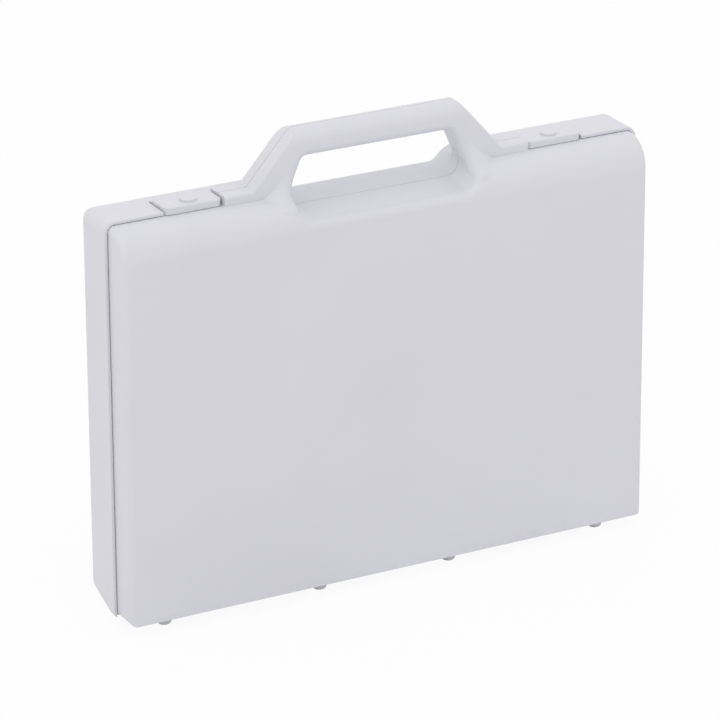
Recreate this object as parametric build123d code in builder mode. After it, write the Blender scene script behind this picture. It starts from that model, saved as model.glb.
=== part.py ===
from build123d import *
from math import cos, radians, sin, sqrt, tan
import os

os.makedirs("parts", exist_ok=True)

# Sizes of the case, in millimetres and degrees
case_width = 340.0
case_height = 240.0
shell_depth = 25.0
wall = 2.5
foot_height = 4.5

# Outline of the rear shell
rear_corner_radius = 6.5
rear_edge_radius = 6.0
underside_rise = 10.0
rear_floor = 3.8

# Lip of the rear shell, which the front shell steps in behind on all sides
lip_reach = 6.9
lip_wall = 2.1
lip_gap = 0.2
lip_edge_radius = 0.6
parting_gap = 0.3

# Outline of the front shell, whose top is flat over this depth and then rounds down to the front
front_top_flat = 7.0
front_edge_radius = 4.0
front_bottom_round = 4.5

# Handle, half in each shell
handle_rise = 34.0
handle_half_depth = 9.0
handle_half_top = 52.5
handle_half_foot = 79.5
handle_knee_radius = 5.0
handle_edge_radius = 1.8
grip_top_radius = 8.0
shoulder_rise = 3.3
shoulder_fillet = 1.2
grip_height = 16.0

# Bell that each leg of the front half flares into, with its middle in from the end of the trough
flare_inset = 2.2
flare_y = 8.0
flare_neck_radius = 17.0
flare_shoulder_radius = 29.0
flare_skirt_radius = 32.5
flare_round = 5.0
flare_rise = 13.0
flare_drop = 4.0
flare_depth = 16.0

# Finger gap between the legs, and the trough below it
gap_half_top = 47.0
gap_lean = 0.44
gap_top_radius = 4.0
gap_edge_radius = 5.2
trough_depth = 12.0
trough_tilt = 7.0
trough_corner_radius = 8.0

# Ramps behind the legs, that the trough's ends rise along in the rear shell
ramp_radius = 30.0
ramp_x = 45.0

# Latch flaps
latch_x = 115.3
latch_width = 35.0
latch_rise = 2.2
latch_gap = 0.3
latch_reach = 7.5
latch_groove = 0.8
latch_pin_y = 8.0
latch_barrel_radius = 4.0
latch_clearance = 0.5
latch_edge_radius = 0.8
latch_corner_radius = 3.0
button_radius = 4.6
button_height = 1.3
button_edge_radius = 0.43
button_y = 0.0
hook_y = 3.4
hook_thickness = 1.6
hook_length = 12.0
hook_drop = 2.6
hook_gap = 0.4

# Pins
pin_radius = 1.0
pin_seat = 2.2
running_gap = 0.08
seat_gap = 0.01

# Bottom hinge
hinge_z = 2.7
knuckle_radius = 2.5
knuckle_length = 9.0
knuckle_gap = 0.3
knuckle_sweep_gap = 0.5
hinge_inset = 70.0

# Feet: the outer ones keep their distance from the ends of the case
foot_radius = 4.2
foot_round = 2.0
front_foot_y = 13.5
rear_foot_y = 15.0
front_foot_inset = 28.0
rear_foot_inset = 43.0
front_inner_foot_x = 42.5
rear_inner_foot_x = 57.5

# Levels and places worked out from the sizes
under_z = foot_height
top_z = under_z + case_height
half_width = case_width / 2
step_in = lip_wall + lip_gap
front_half_width = half_width - step_in
front_top_z = top_z - step_in
front_under_z = under_z + step_in
handle_top_z = top_z + handle_rise
shoulder_z = top_z + shoulder_rise
gap_height = trough_depth + handle_rise - grip_height
trough_z = top_z - trough_depth
trough_half = gap_half_top + gap_lean * gap_height
ramp_foot_z = trough_z + handle_half_depth * tan(radians(trough_tilt))
ramp_end = ramp_x + sqrt(ramp_radius**2 - (ramp_radius + ramp_foot_z - top_z) ** 2)
flare_x = trough_half - flare_inset
flare_top_z = front_top_z + flare_rise
flare_shoulder_z = front_top_z - flare_drop
flare_bottom_z = front_top_z - flare_depth
pocket_width = latch_width + 2 * latch_groove
shoulder_half = latch_x - pocket_width / 2
lip_start = latch_x + pocket_width / 2
latch_top_z = top_z + latch_rise
latch_under_z = front_top_z + latch_gap
latch_pin_z = latch_top_z - latch_barrel_radius
pocket_floor_z = latch_pin_z - latch_barrel_radius - latch_clearance
pocket_rear_y = latch_pin_y + latch_barrel_radius + latch_clearance
hook_bottom_z = front_top_z - hook_drop
slot_floor_z = hook_bottom_z - hook_gap
slope = underside_rise / shell_depth
front_top_round = shell_depth - front_top_flat
hinge_xs = (hinge_inset - half_width, 0, half_width - hinge_inset)
front_foot_xs = [side * x for x in (half_width - front_foot_inset, front_inner_foot_x) for side in (-1, 1)]
rear_foot_xs = [side * x for x in (half_width - rear_foot_inset, rear_inner_foot_x) for side in (-1, 1)]

# How far pieces of one shell sink into each other before they are joined
sink = wall / 2

# Cutting length that is larger than the case, and how near counts as lying on a plane
beyond = 2 * case_width
near = 0.01


def handle_half(bottom_z, face_y, parting_y):
    """Half of the handle with its shoulders and its round top, not yet open for the fingers."""
    with BuildPart() as half:
        with BuildSketch(Plane.XZ) as outline:
            with BuildLine():
                Polyline(
                    (-shoulder_half, bottom_z),
                    (-shoulder_half, shoulder_z),
                    (-handle_half_foot, shoulder_z),
                    (-handle_half_top, handle_top_z),
                    (0, handle_top_z),
                    (0, bottom_z),
                    close=True,
                )
            make_face()
            knee = outline.vertices().group_by(Axis.Y)[-1].sort_by(Axis.X)[0]
            fillet(knee, radius=handle_knee_radius)
        extrude(amount=shell_depth, both=True)
        with BuildSketch(Plane.YZ) as side:
            with BuildLine():
                Polyline(
                    (parting_y, bottom_z),
                    (parting_y, handle_top_z),
                    (face_y, handle_top_z),
                    (face_y, bottom_z),
                    close=True,
                )
            make_face()
            top_corners = side.vertices().group_by(Axis.Y)[-1]
            fillet(top_corners.sort_by(lambda v: abs(v.X))[-1], radius=grip_top_radius)
        extrude(amount=beyond, both=True, mode=Mode.INTERSECT)
        fillet(outer_rim(half, face_y, shoulder_z - near, beyond), radius=handle_edge_radius)
        mirror(about=Plane.YZ)
    return half.part


def finger_gap():
    """What is cut away between the legs: the finger gap and the trough, tilted down to the front."""
    tilt = radians(trough_tilt)
    gap_plane = Plane(origin=(0, 0, trough_z), x_dir=(1, 0, 0), z_dir=(0, -cos(tilt), -sin(tilt)))
    with BuildPart() as gap:
        with BuildSketch(gap_plane) as profile:
            with BuildLine():
                Polyline(
                    (-trough_half, 0),
                    (trough_half, 0),
                    (gap_half_top, gap_height),
                    (-gap_half_top, gap_height),
                    close=True,
                )
            make_face()
            fillet(profile.vertices().group_by(Axis.Y)[0], radius=trough_corner_radius)
            fillet(profile.vertices().group_by(Axis.Y)[-1], radius=gap_top_radius)
        extrude(amount=2 * shell_depth, both=True)
    return gap.part


def leg_flares():
    """The bells that the legs of the front half flare into, trimmed by the parting plane and the gap."""
    neck = (-flare_x - flare_neck_radius, flare_top_z)
    shoulder = (-flare_x - flare_shoulder_radius, flare_shoulder_z)
    skirt = (-flare_x - flare_skirt_radius, flare_bottom_z)
    with BuildPart() as flares:
        with BuildSketch(Plane.XZ.offset(-flare_y)) as profile:
            with BuildLine():
                Polyline(shoulder, skirt, (-flare_x, flare_bottom_z), (-flare_x, flare_top_z), neck)
                TangentArc(neck, shoulder, tangent=(0, -1))
            make_face()
            corner = profile.vertices().sort_by(lambda v: abs(v.Y - flare_shoulder_z))[0]
            fillet(corner, radius=flare_round)
        revolve(axis=Axis((-flare_x, flare_y, 0), (0, 0, 1)))
        with Locations((0, -parting_gap, 0)):
            Box(beyond, beyond, beyond, align=(Align.CENTER, Align.MIN, Align.CENTER), mode=Mode.SUBTRACT)
        add(finger_gap(), mode=Mode.SUBTRACT)
        rim = gap_edges(flares, -1).filter_by(lambda e: e.center().Z > flare_bottom_z + near)
        fillet(rim, radius=gap_edge_radius)
        mirror(about=Plane.YZ)
    return flares.part


def cavity(side_points, front_vertex_radius, trough_wall_z, trough_inner):
    """The hollow of one shell: its side profile, narrowed to the outline inside the walls."""
    roof_z = front_top_z - wall
    pocket_roof_z = pocket_floor_z - wall
    inner_half = front_half_width - wall
    with BuildPart() as hollow:
        with BuildSketch(Plane.YZ.offset(-inner_half)) as side:
            with BuildLine():
                Polyline(*side_points, close=True)
            make_face()
            if front_vertex_radius > 0:
                top_front = side.vertices().sort_by(Axis.Y)[-2:].sort_by(Axis.X)[0]
                fillet(top_front, radius=front_vertex_radius)
        extrude(amount=2 * inner_half)
        with BuildSketch(Plane.XZ):
            with BuildLine():
                Polyline(
                    (-inner_half, 0),
                    (-inner_half, roof_z),
                    (-lip_start - wall, roof_z),
                    (-lip_start - wall, pocket_roof_z),
                    (-shoulder_half + wall, pocket_roof_z),
                    (-shoulder_half + wall, roof_z),
                    (-trough_inner, roof_z),
                    (-trough_inner, trough_wall_z),
                    (trough_inner, trough_wall_z),
                    (trough_inner, roof_z),
                    (shoulder_half - wall, roof_z),
                    (shoulder_half - wall, pocket_roof_z),
                    (lip_start + wall, pocket_roof_z),
                    (lip_start + wall, roof_z),
                    (inner_half, roof_z),
                    (inner_half, 0),
                    close=True,
                )
            make_face()
        extrude(amount=beyond, both=True, mode=Mode.INTERSECT)
    return hollow.part


def latch_pockets(y_front, y_rear, width, floor_z):
    """Boxes cut down from the top at both latches."""
    middle_y = (y_front + y_rear) / 2
    with BuildPart() as pockets:
        with Locations((-latch_x, middle_y, floor_z), (latch_x, middle_y, floor_z)):
            Box(width, y_rear - y_front, beyond, align=(Align.CENTER, Align.CENTER, Align.MIN))
    return pockets.part


def rods(xs, radius, length):
    """Cylinders along X on the bottom hinge axis, centred at the given places."""
    with BuildPart() as rod:
        with Locations(*[Location((x, 0, hinge_z), (0, 90, 0)) for x in xs]):
            Cylinder(radius, length)
    return rod.part


def knuckles(xs, y_front, y_rear, web_top):
    """Hinge knuckles at the given places, each with the web that carries it under its shell."""
    web_depth = y_rear - y_front
    with BuildPart() as knuckle:
        add(rods(xs, knuckle_radius, knuckle_length))
        with Locations(*[(x, (y_front + y_rear) / 2, hinge_z) for x in xs]):
            Box(
                knuckle_length,
                web_depth,
                web_top - hinge_z,
                align=(Align.CENTER, Align.CENTER, Align.MIN),
            )
    return knuckle.part


def feet(xs, y, top):
    """Round feet that stand on the ground and reach up into the underside."""
    with BuildPart() as foot:
        with Locations(*[(x, y, 0) for x in xs]):
            Cylinder(foot_radius, top, align=(Align.CENTER, Align.CENTER, Align.MIN))
        fillet(foot.edges().group_by(Axis.Z)[0], radius=foot_round)
    return foot.part


def outer_rim(shell, y, low, high):
    """Edges that lie on the handle's outer face, between two heights."""
    edges = shell.edges().filter_by(lambda e: abs((e @ 0).Y - y) < near and abs((e @ 1).Y - y) < near)
    return edges.filter_by(lambda e: low < min((e @ 0).Z, (e @ 1).Z) and max((e @ 0).Z, (e @ 1).Z) < high)


def gap_edges(shell, side):
    """Edges that the last cut left on the outer side of the finger gap and the trough."""
    clear_y = parting_gap + near
    edges = shell.edges(Select.LAST).filter_by(lambda e: min(side * (e @ t).Y for t in (0, 0.5, 1)) > clear_y)
    return edges.filter_by(lambda e: abs(e.center().X) < trough_half + near)


knuckle_pitch = knuckle_length + knuckle_gap
hinge_pin_length = 3 * knuckle_length + 2 * knuckle_gap
latch_pin_length = pocket_width + 2 * pin_seat
rear_knuckle_xs = [x + side * knuckle_pitch for x in hinge_xs for side in (-1, 1)]

with BuildPart() as rear_shell:
    # Outer body with the lip still solid
    with BuildSketch(Plane.YZ.offset(-half_width)):
        with BuildLine():
            Polyline(
                (-lip_reach, under_z),
                (0, under_z),
                (shell_depth, under_z + underside_rise),
                (shell_depth, top_z),
                (-lip_reach, top_z),
                close=True,
            )
        make_face()
    extrude(amount=case_width)
    corners = rear_shell.edges().filter_by(lambda e: abs(abs(e.center().X) - half_width) < near)
    corners = corners.filter_by(lambda e: abs((e @ 1).Y - (e @ 0).Y) > near)
    fillet(corners, radius=rear_corner_radius)
    fillet(rear_shell.faces().sort_by(Axis.Y)[-1].edges(), radius=rear_edge_radius)
    # Room for the front shell inside the lip
    with BuildSketch(Plane.XZ):
        with Locations((0, (top_z - lip_wall) / 2)):
            room = Rectangle(2 * (half_width - lip_wall), top_z - lip_wall)
        fillet(room.vertices().group_by(Axis.Y)[-1], radius=rear_corner_radius - lip_wall)
        with Locations((0, top_z)):
            Rectangle(2 * lip_start, case_height)
    extrude(amount=beyond, mode=Mode.SUBTRACT)
    # Handle half, then the finger gap and the trough
    add(handle_half(top_z - sink, handle_half_depth, 0))
    fillet(outer_rim(rear_shell, handle_half_depth, top_z - near, top_z + near), radius=shoulder_fillet)
    add(finger_gap(), mode=Mode.SUBTRACT)
    fillet(gap_edges(rear_shell, 1), radius=gap_edge_radius)
    # Ramps at the ends of the trough, along its tilt
    with BuildSketch(Plane.XZ.offset(-handle_half_depth)):
        with Locations((-ramp_x, ramp_foot_z + ramp_radius), (ramp_x, ramp_foot_z + ramp_radius)):
            Circle(ramp_radius)
    tilt = radians(trough_tilt)
    extrude(amount=shell_depth, dir=(0, cos(tilt), sin(tilt)), mode=Mode.SUBTRACT)
    # Feet, room for the front knuckles to turn in, and the rear hinge knuckles
    add(feet(rear_foot_xs, rear_foot_y, under_z + slope * (rear_foot_y + foot_radius) + sink))
    sweep_radius = knuckle_radius + knuckle_sweep_gap
    add(rods(hinge_xs, sweep_radius, knuckle_length + 2 * knuckle_gap), mode=Mode.SUBTRACT)
    add(knuckles(rear_knuckle_xs, 0, knuckle_radius, under_z + sink))
    # Hollow and latch pockets
    add(
        cavity(
            (
                (0, under_z + rear_floor),
                (0, beyond),
                (shell_depth - wall, beyond),
                (shell_depth - wall, under_z + rear_floor + slope * (shell_depth - wall)),
            ),
            0,
            trough_z - wall,
            ramp_end + wall,
        ),
        mode=Mode.SUBTRACT,
    )
    add(latch_pockets(0, pocket_rear_y, pocket_width, pocket_floor_z), mode=Mode.SUBTRACT)
    # Softened edges along the lip, but not across its ends
    lip_rims = rear_shell.faces().group_by(Axis.Y)[0].edges()
    fillet(lip_rims.filter_by(lambda e: e.length > 2 * lip_wall), radius=lip_edge_radius)
    # Bores for the hinge pins and the latch pins
    add(rods(hinge_xs, pin_radius + seat_gap, hinge_pin_length), mode=Mode.SUBTRACT)
    with Locations(*[Location((x, latch_pin_y, latch_pin_z), (0, 90, 0)) for x in (-latch_x, latch_x)]):
        Cylinder(pin_radius + seat_gap, latch_pin_length, mode=Mode.SUBTRACT)

rear_shell.part.label = "rear_shell"
export_step(rear_shell.part, "parts/rear_shell.step")

with BuildPart() as front_shell:
    # Outer body with the strongly rounded top edge
    with BuildSketch(Plane.YZ.offset(-front_half_width)) as side:
        with BuildLine():
            Polyline(
                (-shell_depth, front_under_z),
                (-parting_gap, front_under_z),
                (-parting_gap, front_top_z),
                (-shell_depth, front_top_z),
                close=True,
            )
        make_face()
        front_corners = side.vertices().group_by(Axis.X)[0]
        fillet(front_corners.sort_by(Axis.Y)[-1], radius=front_top_round)
        fillet(front_corners.sort_by(Axis.Y)[0], radius=front_bottom_round)
    extrude(amount=2 * front_half_width)
    side_edges = front_shell.edges().filter_by(lambda e: abs(abs(e.center().X) - front_half_width) < near)
    side_edges = side_edges.filter_by(lambda e: e.center().Y < -parting_gap - near)
    fillet(side_edges, radius=front_edge_radius)
    # Handle half, then the finger gap and the trough
    add(handle_half(front_top_z - sink, -handle_half_depth, -parting_gap))
    add(finger_gap(), mode=Mode.SUBTRACT)
    fillet(gap_edges(front_shell, -1), radius=gap_edge_radius)
    add(leg_flares())
    # Feet and hinge knuckles
    add(feet(front_foot_xs, -front_foot_y, front_under_z + sink))
    add(knuckles(hinge_xs, -knuckle_radius, -parting_gap, front_under_z + sink))
    # Hollow and the slots that the latch hooks drop into
    add(
        cavity(
            (
                (0, front_under_z + wall),
                (0, front_top_z - wall),
                (wall - shell_depth, front_top_z - wall),
                (wall - shell_depth, front_under_z + wall),
            ),
            front_top_round - wall,
            trough_z - shell_depth * tan(radians(trough_tilt)) - wall,
            trough_half + wall,
        ),
        mode=Mode.SUBTRACT,
    )
    add(
        latch_pockets(
            -hook_y - hook_thickness - hook_gap,
            -hook_y + hook_gap,
            hook_length + 2 * hook_gap,
            slot_floor_z,
        ),
        mode=Mode.SUBTRACT,
    )
    add(rods(hinge_xs, pin_radius + running_gap, knuckle_length), mode=Mode.SUBTRACT)

front_shell.part.label = "front_shell"
export_step(front_shell.part, "parts/front_shell.step")


def latch(x):
    """A latch flap: a plate with a raised round button, a hook below it and a barrel round its pin."""
    with BuildPart() as barrel:
        with Locations(Location((x, latch_pin_y, latch_pin_z), (0, 90, 0))):
            Cylinder(latch_barrel_radius, latch_width)
        fillet(barrel.edges().filter_by(GeomType.CIRCLE), radius=latch_edge_radius)
    with BuildPart() as flap:
        with BuildSketch(Plane.XY.offset(latch_under_z)) as plate:
            with Locations((x, (latch_pin_y - latch_reach) / 2)):
                Rectangle(latch_width, latch_pin_y + latch_reach)
            fillet(plate.vertices().group_by(Axis.Y)[0], radius=latch_corner_radius)
        extrude(amount=latch_top_z - latch_under_z)
        top_rim = flap.faces().sort_by(Axis.Z)[-1].edges()
        fillet(top_rim.filter_by(lambda e: e.center().Y < latch_pin_y - near), radius=latch_edge_radius)
        add(barrel.part)
        with Locations((x, button_y, latch_top_z)):
            Cylinder(button_radius, button_height, align=(Align.CENTER, Align.CENTER, Align.MIN))
        fillet(flap.edges().group_by(Axis.Z)[-1], radius=button_edge_radius)
        with Locations((x, -hook_y - hook_thickness / 2, hook_bottom_z)):
            Box(
                hook_length,
                hook_thickness,
                latch_under_z - hook_bottom_z,
                align=(Align.CENTER, Align.CENTER, Align.MIN),
            )
        with Locations(Location((x, latch_pin_y, latch_pin_z), (0, 90, 0))):
            Cylinder(pin_radius + running_gap, latch_width, mode=Mode.SUBTRACT)
    return flap.part


def pin(x, y, z, length):
    """A plain steel pin along X."""
    with BuildPart() as rod:
        with Locations(Location((x, y, z), (0, 90, 0))):
            Cylinder(pin_radius, length)
    return rod.part


for name, x in (("left_latch", -latch_x), ("right_latch", latch_x)):
    flap = latch(x)
    flap.label = name
    export_step(flap, f"parts/{name}.step")
    rod = pin(x, latch_pin_y, latch_pin_z, latch_pin_length)
    rod.label = name + "_pin"
    export_step(rod, f"parts/{name}_pin.step")

for name, x in zip(("left_hinge_pin", "middle_hinge_pin", "right_hinge_pin"), hinge_xs):
    rod = pin(x, 0, hinge_z, hinge_pin_length)
    rod.label = name
    export_step(rod, f"parts/{name}.step")
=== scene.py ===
import math

import bpy
from mathutils import Matrix, Vector


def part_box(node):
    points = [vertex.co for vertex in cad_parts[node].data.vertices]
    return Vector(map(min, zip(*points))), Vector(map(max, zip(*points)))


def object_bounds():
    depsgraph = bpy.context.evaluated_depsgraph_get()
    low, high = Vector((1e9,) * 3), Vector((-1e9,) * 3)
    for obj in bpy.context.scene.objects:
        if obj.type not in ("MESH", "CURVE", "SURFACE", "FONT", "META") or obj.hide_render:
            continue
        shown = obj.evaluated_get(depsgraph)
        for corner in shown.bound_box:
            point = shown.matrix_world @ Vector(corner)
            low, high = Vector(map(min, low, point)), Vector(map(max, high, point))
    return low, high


bl_info = {
    "name": "Plastic carry case",
    "version": (1, 0, 0),
    "blender": (4, 5, 0),
    "location": "View3D > Sidebar > Carry case",
    "description": "Finishes a slim plastic carry case and sets it on a pale studio floor",
    "category": "Object",
}

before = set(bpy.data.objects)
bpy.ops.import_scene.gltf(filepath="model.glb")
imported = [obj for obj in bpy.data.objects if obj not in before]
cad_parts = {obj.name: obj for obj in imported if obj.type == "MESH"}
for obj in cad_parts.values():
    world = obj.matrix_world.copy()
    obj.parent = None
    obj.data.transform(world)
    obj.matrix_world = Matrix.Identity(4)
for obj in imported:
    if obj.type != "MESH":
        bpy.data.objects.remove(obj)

MM = 0.001
SHELLS = ("rear_shell", "front_shell")
LATCHES = ("left_latch", "right_latch")
PINS = ("left_latch_pin", "right_latch_pin", "left_hinge_pin", "middle_hinge_pin", "right_hinge_pin")
CASE_LOW, CASE_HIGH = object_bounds()
HANDLE_TOP = CASE_HIGH.z
LATCH_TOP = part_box("left_latch")[1].z

# The plastic: sizes of its patterns, and how much each pattern changes the roughness.
PATCH_SIZE = 90 * MM
SMUDGE_SIZE = 14 * MM
SMUDGE_SHARE = 0.08
GRAIN_SHARE = 0.1
RUB_SHARE = 0.12
PLASTIC_IOR = 1.49
# How far below the top of a latch the rubbed part starts.
LATCH_RUB = 1.5 * MM

# The steel: its marks are drawn out along X, where all the pins lie, and its stains are darker.
MARK_STRETCH = (0.02, 1.0, 1.0)
MARK_SHARE = 0.2
MARK_DEPTH = 0.01 * MM
MARK_STRENGTH = 0.5
STAIN_SIZE = 3 * MM
STAIN_LEVEL = 0.85

# The studio: widths and places in metres.
KEY_WIDTH = 2.4
KEY_PLACE = (-0.4, -0.7, 2.5)
SIDE_WIDTH = 1.8
SIDE_PLACE = (-2.4, -0.6, 1.2)
CAMERA_REACH = 100.0
WHITE = (1.0, 1.0, 1.0, 1.0)
# How much of the floor is plain white. The rest takes light and shadow.
FLOOR_WHITE = 0.93

# The middle value of a noise, and the Mix node's places for its two colours and their mixture.
NOISE_MIDDLE = 0.5
FIRST_COLOUR, SECOND_COLOUR, MIXED_COLOUR = 6, 7, 2


class Socket:
    """One value in a shader, so that sums and products of values read as plain maths."""

    def __init__(self, shader, output):
        self.shader = shader
        self.output = output

    def maths(self, operation, first, second, clamp=False):
        settings = {"operation": operation, "use_clamp": clamp}
        return self.shader.node("ShaderNodeMath", settings, {0: first, 1: second})

    def __add__(self, other):
        return self.maths("ADD", self, other)

    def __radd__(self, other):
        return self.maths("ADD", other, self)

    def __sub__(self, other):
        return self.maths("SUBTRACT", self, other)

    def __rsub__(self, other):
        return self.maths("SUBTRACT", other, self)

    def __mul__(self, other):
        return self.maths("MULTIPLY", self, other)

    def __rmul__(self, other):
        return self.maths("MULTIPLY", other, self)

    def clamped(self):
        """The value, kept between 0 and 1."""
        return self.maths("ADD", self, 0.0, clamp=True)


class Shader:
    """The nodes of one material or world, added one at a time."""

    def __init__(self, owner):
        owner.use_nodes = True
        self.tree = owner.node_tree
        self.tree.nodes.clear()

    def node(self, kind, settings=None, values=None, output=0):
        """Adds a node, applies its settings, then fills its inputs with values or links."""
        made = self.tree.nodes.new(kind)
        for name, setting in (settings or {}).items():
            setattr(made, name, setting)
        for name, value in (values or {}).items():
            if isinstance(value, Socket):
                self.tree.links.new(value.output, made.inputs[name])
            else:
                made.inputs[name].default_value = value
        return Socket(self, made.outputs[output]) if made.outputs else None

    def place(self, stretch=(1.0, 1.0, 1.0)):
        """Object coordinates in metres, stretched along the axes where a pattern is long."""
        coordinates = self.node("ShaderNodeTexCoord", output="Object")
        return self.node("ShaderNodeMapping", values={"Vector": coordinates, "Scale": stretch})

    def noise(self, place, size, detail=3.0, roughness=0.5):
        """Soft noise from 0 to 1 whose blotches are about the given size in metres."""
        values = {"Vector": place, "Scale": 1.0 / size, "Detail": detail, "Roughness": roughness}
        return self.node("ShaderNodeTexNoise", values=values, output="Fac")

    def height_mask(self, place, low, high):
        """0 below one height and 1 above the other, in metres."""
        height = self.node("ShaderNodeSeparateXYZ", values={"Vector": place}, output="Z")
        settings = {"interpolation_type": "SMOOTHSTEP"}
        values = {"Value": height, "From Min": low, "From Max": high}
        return self.node("ShaderNodeMapRange", settings, values)

    def mix_colour(self, share, first, second):
        """A colour between two others."""
        settings = {"data_type": "RGBA"}
        values = {"Factor": share, FIRST_COLOUR: (*first, 1.0), SECOND_COLOUR: (*second, 1.0)}
        return self.node("ShaderNodeMix", settings, values, output=MIXED_COLOUR)

    def bump(self, height, depth=1.0, strength=1.0):
        """A normal that follows a height pattern, where a height of 1 stands for the depth in metres."""
        values = {"Height": height, "Distance": depth, "Strength": strength}
        return self.node("ShaderNodeBump", values=values, output="Normal")

    def finish_surface(self, values):
        """Ends the material in a Principled surface with these inputs."""
        surface = self.node("ShaderNodeBsdfPrincipled", values=values)
        self.node("ShaderNodeOutputMaterial", values={"Surface": surface})


class CasePlastic(bpy.types.PropertyGroup):
    """The satin polypropylene of the shells and the latches."""

    colour: bpy.props.FloatVectorProperty(
        name="Colour", description="Colour of the plastic", subtype="COLOR",
        size=3, min=0.0, max=1.0, default=(0.690, 0.688, 0.738),
    )
    blush: bpy.props.FloatProperty(
        name="Blush", description="How much lighter and darker the patches of the moulding get",
        subtype="FACTOR", min=0.0, max=1.0, default=0.04,
    )
    roughness: bpy.props.FloatProperty(
        name="Roughness", description="Roughness of the moulded surface",
        subtype="FACTOR", min=0.0, max=1.0, default=0.42,
    )
    grain: bpy.props.FloatProperty(
        name="Grain size", description="Size of the fine grain left by the mould",
        subtype="DISTANCE", unit="LENGTH", min=0.0001, default=0.45 * MM,
    )
    grain_depth: bpy.props.FloatProperty(
        name="Grain depth", description="Depth of the fine grain",
        subtype="DISTANCE", unit="LENGTH", min=0.0, default=0.02 * MM,
    )
    ripple: bpy.props.FloatProperty(
        name="Ripple size", description="Size of the slow waves in the large flat walls",
        subtype="DISTANCE", unit="LENGTH", min=0.001, default=60 * MM,
    )
    ripple_depth: bpy.props.FloatProperty(
        name="Ripple depth", description="Depth of the slow waves",
        subtype="DISTANCE", unit="LENGTH", min=0.0, default=0.25 * MM,
    )


class PinSteel(bpy.types.PropertyGroup):
    """The drawn steel wire of the pins."""

    colour: bpy.props.FloatVectorProperty(
        name="Colour", description="Colour of the steel", subtype="COLOR",
        size=3, min=0.0, max=1.0, default=(0.56, 0.56, 0.58),
    )
    roughness: bpy.props.FloatProperty(
        name="Roughness", description="Roughness between the drawing marks",
        subtype="FACTOR", min=0.0, max=1.0, default=0.28,
    )
    marks: bpy.props.FloatProperty(
        name="Drawing marks", description="Width of the marks along the wire",
        subtype="DISTANCE", unit="LENGTH", min=0.00001, default=0.08 * MM,
    )


class Studio(bpy.types.PropertyGroup):
    """The floor, the lamps and the camera."""

    floor_colour: bpy.props.FloatVectorProperty(
        name="Floor colour", description="Colour of the floor", subtype="COLOR",
        size=3, min=0.0, max=1.0, default=(0.88, 0.88, 0.88),
    )
    floor_width: bpy.props.FloatProperty(
        name="Floor width", description="Width of the square floor",
        subtype="DISTANCE", unit="LENGTH", min=1.0, default=16.0,
    )
    sky: bpy.props.FloatProperty(
        name="Sky light", description="Strength of the even light from all round",
        min=0.0, default=0.91,
    )
    key_power: bpy.props.FloatProperty(
        name="Key power", description="Power of the broad lamp above the case",
        subtype="POWER", unit="POWER", min=0.0, default=8.0,
    )
    side_power: bpy.props.FloatProperty(
        name="Side power", description="Power of the broad lamp on the left",
        subtype="POWER", unit="POWER", min=0.0, default=2.0,
    )
    azimuth: bpy.props.FloatProperty(
        name="Azimuth", description="Turn of the camera round the case, from its front",
        subtype="ANGLE", unit="ROTATION", default=math.radians(-28.034),
    )
    elevation: bpy.props.FloatProperty(
        name="Elevation", description="Height of the camera above the horizon",
        subtype="ANGLE", unit="ROTATION", default=math.radians(21.893),
    )
    roll: bpy.props.FloatProperty(
        name="Roll", description="Turn of the camera about its own view line",
        subtype="ANGLE", unit="ROTATION", default=math.radians(-0.284),
    )
    distance: bpy.props.FloatProperty(
        name="Distance", description="Distance from the camera to the point that it looks at",
        subtype="DISTANCE", unit="LENGTH", min=0.1, default=2692.5 * MM,
    )
    lens: bpy.props.FloatProperty(
        name="Lens", description="Focal length of the camera, in millimetres",
        min=10.0, default=235.9,
    )
    aim: bpy.props.FloatVectorProperty(
        name="Aim", description="Point that the camera looks at",
        subtype="TRANSLATION", unit="LENGTH", size=3, default=(-11.6 * MM, -6.9 * MM, 133.4 * MM),
    )


def plastic(name, look, rub_low, rub_high):
    """Satin moulded plastic with a fine grain, rubbed smoother where hands touch it."""
    material = bpy.data.materials.new(name)
    shader = Shader(material)
    place = shader.place()
    patches = shader.noise(place, PATCH_SIZE, detail=2.0)
    light = tuple(min(1.0, level * (1.0 + look.blush)) for level in look.colour)
    dark = tuple(level * (1.0 - look.blush) for level in look.colour)
    colour = shader.mix_colour(patches, dark, light)
    grain = shader.noise(place, look.grain, detail=2.0, roughness=0.6)
    ripple = shader.noise(place, look.ripple, detail=1.0)
    smudge = shader.noise(place, SMUDGE_SIZE, detail=4.0)
    rubbed = shader.height_mask(place, rub_low, rub_high) * smudge
    smudged = look.roughness + (smudge - NOISE_MIDDLE) * SMUDGE_SHARE
    roughness = smudged + (grain - NOISE_MIDDLE) * GRAIN_SHARE - rubbed * RUB_SHARE
    height = grain * look.grain_depth + ripple * look.ripple_depth
    shader.finish_surface({
        "Base Color": colour,
        "Roughness": roughness.clamped(),
        "Normal": shader.bump(height),
        "IOR": PLASTIC_IOR,
    })
    return material


def steel(name, look):
    """Drawn steel wire, with fine marks along its length."""
    material = bpy.data.materials.new(name)
    shader = Shader(material)
    marks = shader.noise(shader.place(stretch=MARK_STRETCH), look.marks, roughness=0.7)
    stain = shader.noise(shader.place(), STAIN_SIZE)
    stained = tuple(STAIN_LEVEL * level for level in look.colour)
    shader.finish_surface({
        "Base Color": shader.mix_colour(stain, stained, look.colour),
        "Roughness": (look.roughness + (marks - NOISE_MIDDLE) * MARK_SHARE).clamped(),
        "Metallic": 1.0,
        "Normal": shader.bump(marks, MARK_DEPTH, MARK_STRENGTH),
    })
    return material


def cover(nodes, material):
    """Puts a material in every slot of some pieces of the case."""
    for name in nodes:
        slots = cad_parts[name].material_slots
        if not slots:
            raise RuntimeError(f"{name} has no material slot")
        for slot in slots:
            slot.material = material


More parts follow.
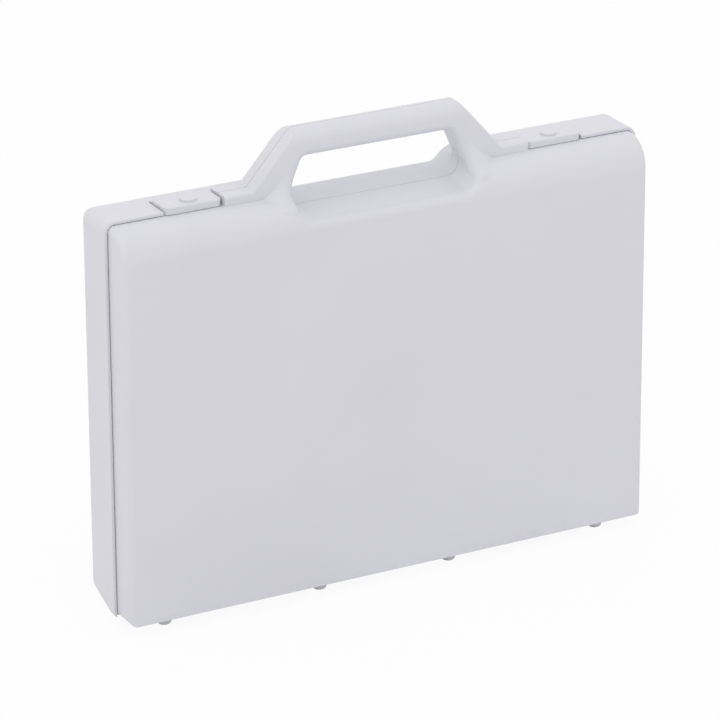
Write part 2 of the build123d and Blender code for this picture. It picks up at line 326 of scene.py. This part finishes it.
class CASE_OT_finish_shells(bpy.types.Operator):
    """Gives both halves of the case their satin plastic"""

    bl_idname = "case.finish_shells"
    bl_label = "Finish the shells"

    def execute(self, context):
        look = context.scene.case_plastic
        cover(SHELLS, plastic("shell_plastic", look, LATCH_TOP, HANDLE_TOP))
        return {"FINISHED"}


class CASE_OT_finish_latches(bpy.types.Operator):
    """Gives both latch flaps the same plastic, rubbed round their buttons"""

    bl_idname = "case.finish_latches"
    bl_label = "Finish the latches"

    def execute(self, context):
        look = context.scene.case_plastic
        cover(LATCHES, plastic("latch_plastic", look, LATCH_TOP - LATCH_RUB, LATCH_TOP))
        return {"FINISHED"}


class CASE_OT_finish_pins(bpy.types.Operator):
    """Gives the hinge pins and the latch pins their drawn steel"""

    bl_idname = "case.finish_pins"
    bl_label = "Finish the pins"

    def execute(self, context):
        cover(PINS, steel("pin_steel", context.scene.case_steel))
        return {"FINISHED"}


def backdrop_share(shader):
    """1 for rays from the camera, a reflection or a clear surface, and 0 for rays that carry light."""
    seen = [
        shader.node("ShaderNodeLightPath", output=f"Is {kind} Ray")
        for kind in ("Camera", "Glossy", "Transmission")
    ]
    return (seen[0] + seen[1] + seen[2]).clamped()


def make_floor(look):
    """A wide pale floor that looks white and still takes the shadow of the case."""
    bpy.ops.mesh.primitive_plane_add(size=look.floor_width, location=(0, 0, 0))
    floor = bpy.context.object
    floor.name = "studio_floor"
    material = bpy.data.materials.new("studio_floor")
    shader = Shader(material)
    matt = shader.node("ShaderNodeBsdfDiffuse", values={"Color": (*look.floor_colour, 1.0)})
    white = shader.node("ShaderNodeEmission", values={"Color": WHITE, "Strength": 1.0})
    share = backdrop_share(shader) * FLOOR_WHITE
    surface = shader.node("ShaderNodeMixShader", values={0: share, 1: matt, 2: white})
    shader.node("ShaderNodeOutputMaterial", values={"Surface": surface})
    floor.data.materials.append(material)


def make_world(look):
    """Even light from all round, which looks white behind the case."""
    world = bpy.data.worlds.new("studio_world")
    bpy.context.scene.world = world
    shader = Shader(world)
    seen = backdrop_share(shader)
    strength = seen + (1.0 - seen) * look.sky
    sky = shader.node("ShaderNodeBackground", values={"Color": WHITE, "Strength": strength})
    shader.node("ShaderNodeOutputWorld", values={"Surface": sky})


def make_lamp(name, power, width, place, target):
    """A square soft lamp that points at a place on the case."""
    data = bpy.data.lights.new(name, "AREA")
    data.energy = power
    data.size = width
    lamp = bpy.data.objects.new(name, data)
    bpy.context.collection.objects.link(lamp)
    lamp.location = place
    lamp.rotation_euler = (Vector(target) - Vector(place)).to_track_quat("-Z", "Y").to_euler()


def make_camera(look):
    """The camera, as far round and as high as the photograph was taken from."""
    back = Vector((
        math.sin(look.azimuth) * math.cos(look.elevation),
        -math.cos(look.azimuth) * math.cos(look.elevation),
        math.sin(look.elevation),
    ))
    data = bpy.data.cameras.new("camera")
    data.lens = look.lens
    data.clip_end = CAMERA_REACH
    camera = bpy.data.objects.new("camera", data)
    bpy.context.collection.objects.link(camera)
    turned = back.to_track_quat("Z", "Y").to_matrix().to_4x4() @ Matrix.Rotation(look.roll, 4, "Z")
    camera.matrix_world = Matrix.Translation(Vector(look.aim) + look.distance * back) @ turned
    bpy.context.scene.camera = camera


class CASE_OT_add_studio(bpy.types.Operator):
    """Adds the floor, the soft lamps and the camera"""

    bl_idname = "case.add_studio"
    bl_label = "Add the studio"

    def execute(self, context):
        look = context.scene.case_studio
        context.scene.view_settings.view_transform = "Standard"
        middle = (CASE_LOW + CASE_HIGH) / 2
        make_floor(look)
        make_world(look)
        make_lamp("key_lamp", look.key_power, KEY_WIDTH, KEY_PLACE, middle)
        make_lamp("side_lamp", look.side_power, SIDE_WIDTH, SIDE_PLACE, middle)
        make_camera(look)
        return {"FINISHED"}


class CASE_PT_panel(bpy.types.Panel):
    """The sizes and colours of the case, and the steps that finish it"""

    bl_idname = "CASE_PT_panel"
    bl_label = "Carry case"
    bl_space_type = "VIEW_3D"
    bl_region_type = "UI"
    bl_category = "Carry case"

    def draw(self, context):
        for group in GROUPS:
            look = getattr(context.scene, group)
            for name in GROUPS[group].__annotations__:
                self.layout.prop(look, name)
        for step in STEPS:
            self.layout.operator(step.bl_idname)


GROUPS = {"case_plastic": CasePlastic, "case_steel": PinSteel, "case_studio": Studio}
STEPS = (CASE_OT_finish_shells, CASE_OT_finish_latches, CASE_OT_finish_pins, CASE_OT_add_studio)


def register():
    for made in (*GROUPS.values(), *STEPS, CASE_PT_panel):
        bpy.utils.register_class(made)
    for name, group in GROUPS.items():
        setattr(bpy.types.Scene, name, bpy.props.PointerProperty(type=group))


def unregister():
    for name in GROUPS:
        delattr(bpy.types.Scene, name)
    for made in reversed((*GROUPS.values(), *STEPS, CASE_PT_panel)):
        bpy.utils.unregister_class(made)


def main():
    register()
    bpy.ops.object.select_all(action="DESELECT")
    bpy.ops.case.finish_shells()
    bpy.ops.case.finish_latches()
    bpy.ops.case.finish_pins()
    bpy.ops.case.add_studio()


if __name__ == "__main__":
    main()
